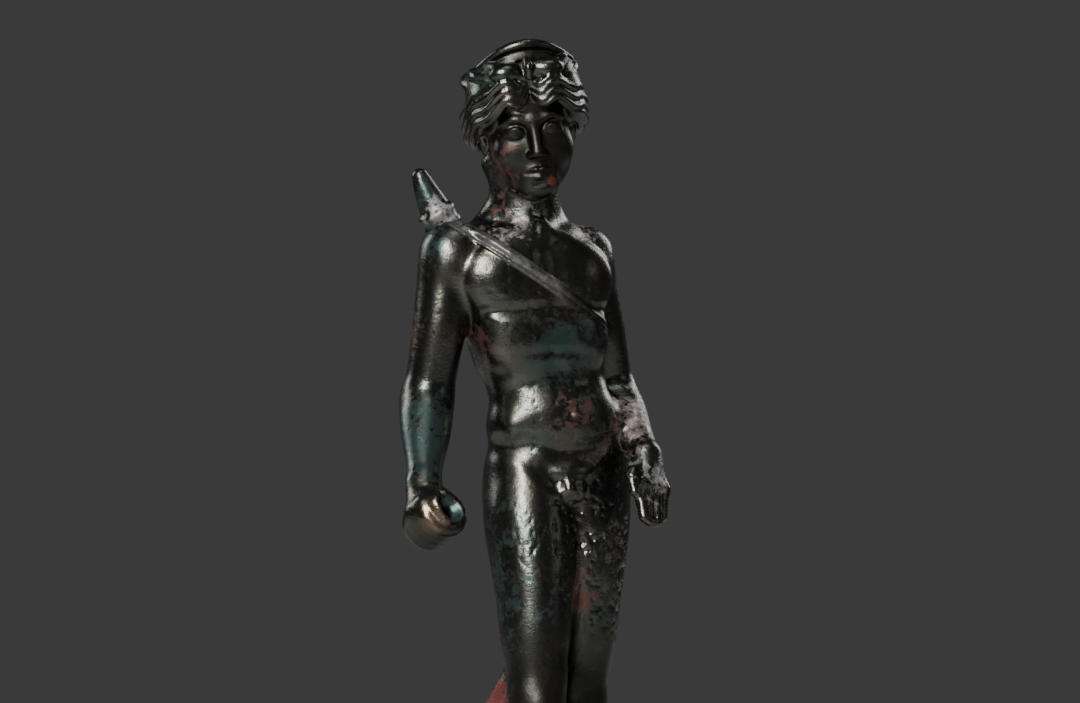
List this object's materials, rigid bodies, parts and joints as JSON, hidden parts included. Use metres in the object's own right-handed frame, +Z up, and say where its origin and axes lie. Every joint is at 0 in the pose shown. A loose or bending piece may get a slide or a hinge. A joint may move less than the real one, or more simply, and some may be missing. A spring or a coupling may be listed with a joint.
{
  "type": "bronze statuette of a youth with a quiver",
  "caption": "Small cast bronze of a standing nude youth, weight on the left leg, with rolled hair, a quiver on its back, a strap over the chest and a pierced closed hand, on a low round base.",
  "frame": {"origin": "middle of the base's flat underside", "axes": "+Z up along the figure, -Y the way the figure faces, +X towards its left side"},
  "size_m": [0.052, 0.052, 0.1631],
  "materials": {
    "patinated_bronze": "cast bronze with a glossy near-black green patina, fine pitting, red and pale corroded spots",
    "dark_bronze": "cast and turned bronze with a dark satin patina"
  },
  "bodies": {
    "root": {"apollo_figure": "patinated_bronze", "base": "dark_bronze"}
  },
  "joints": []
}
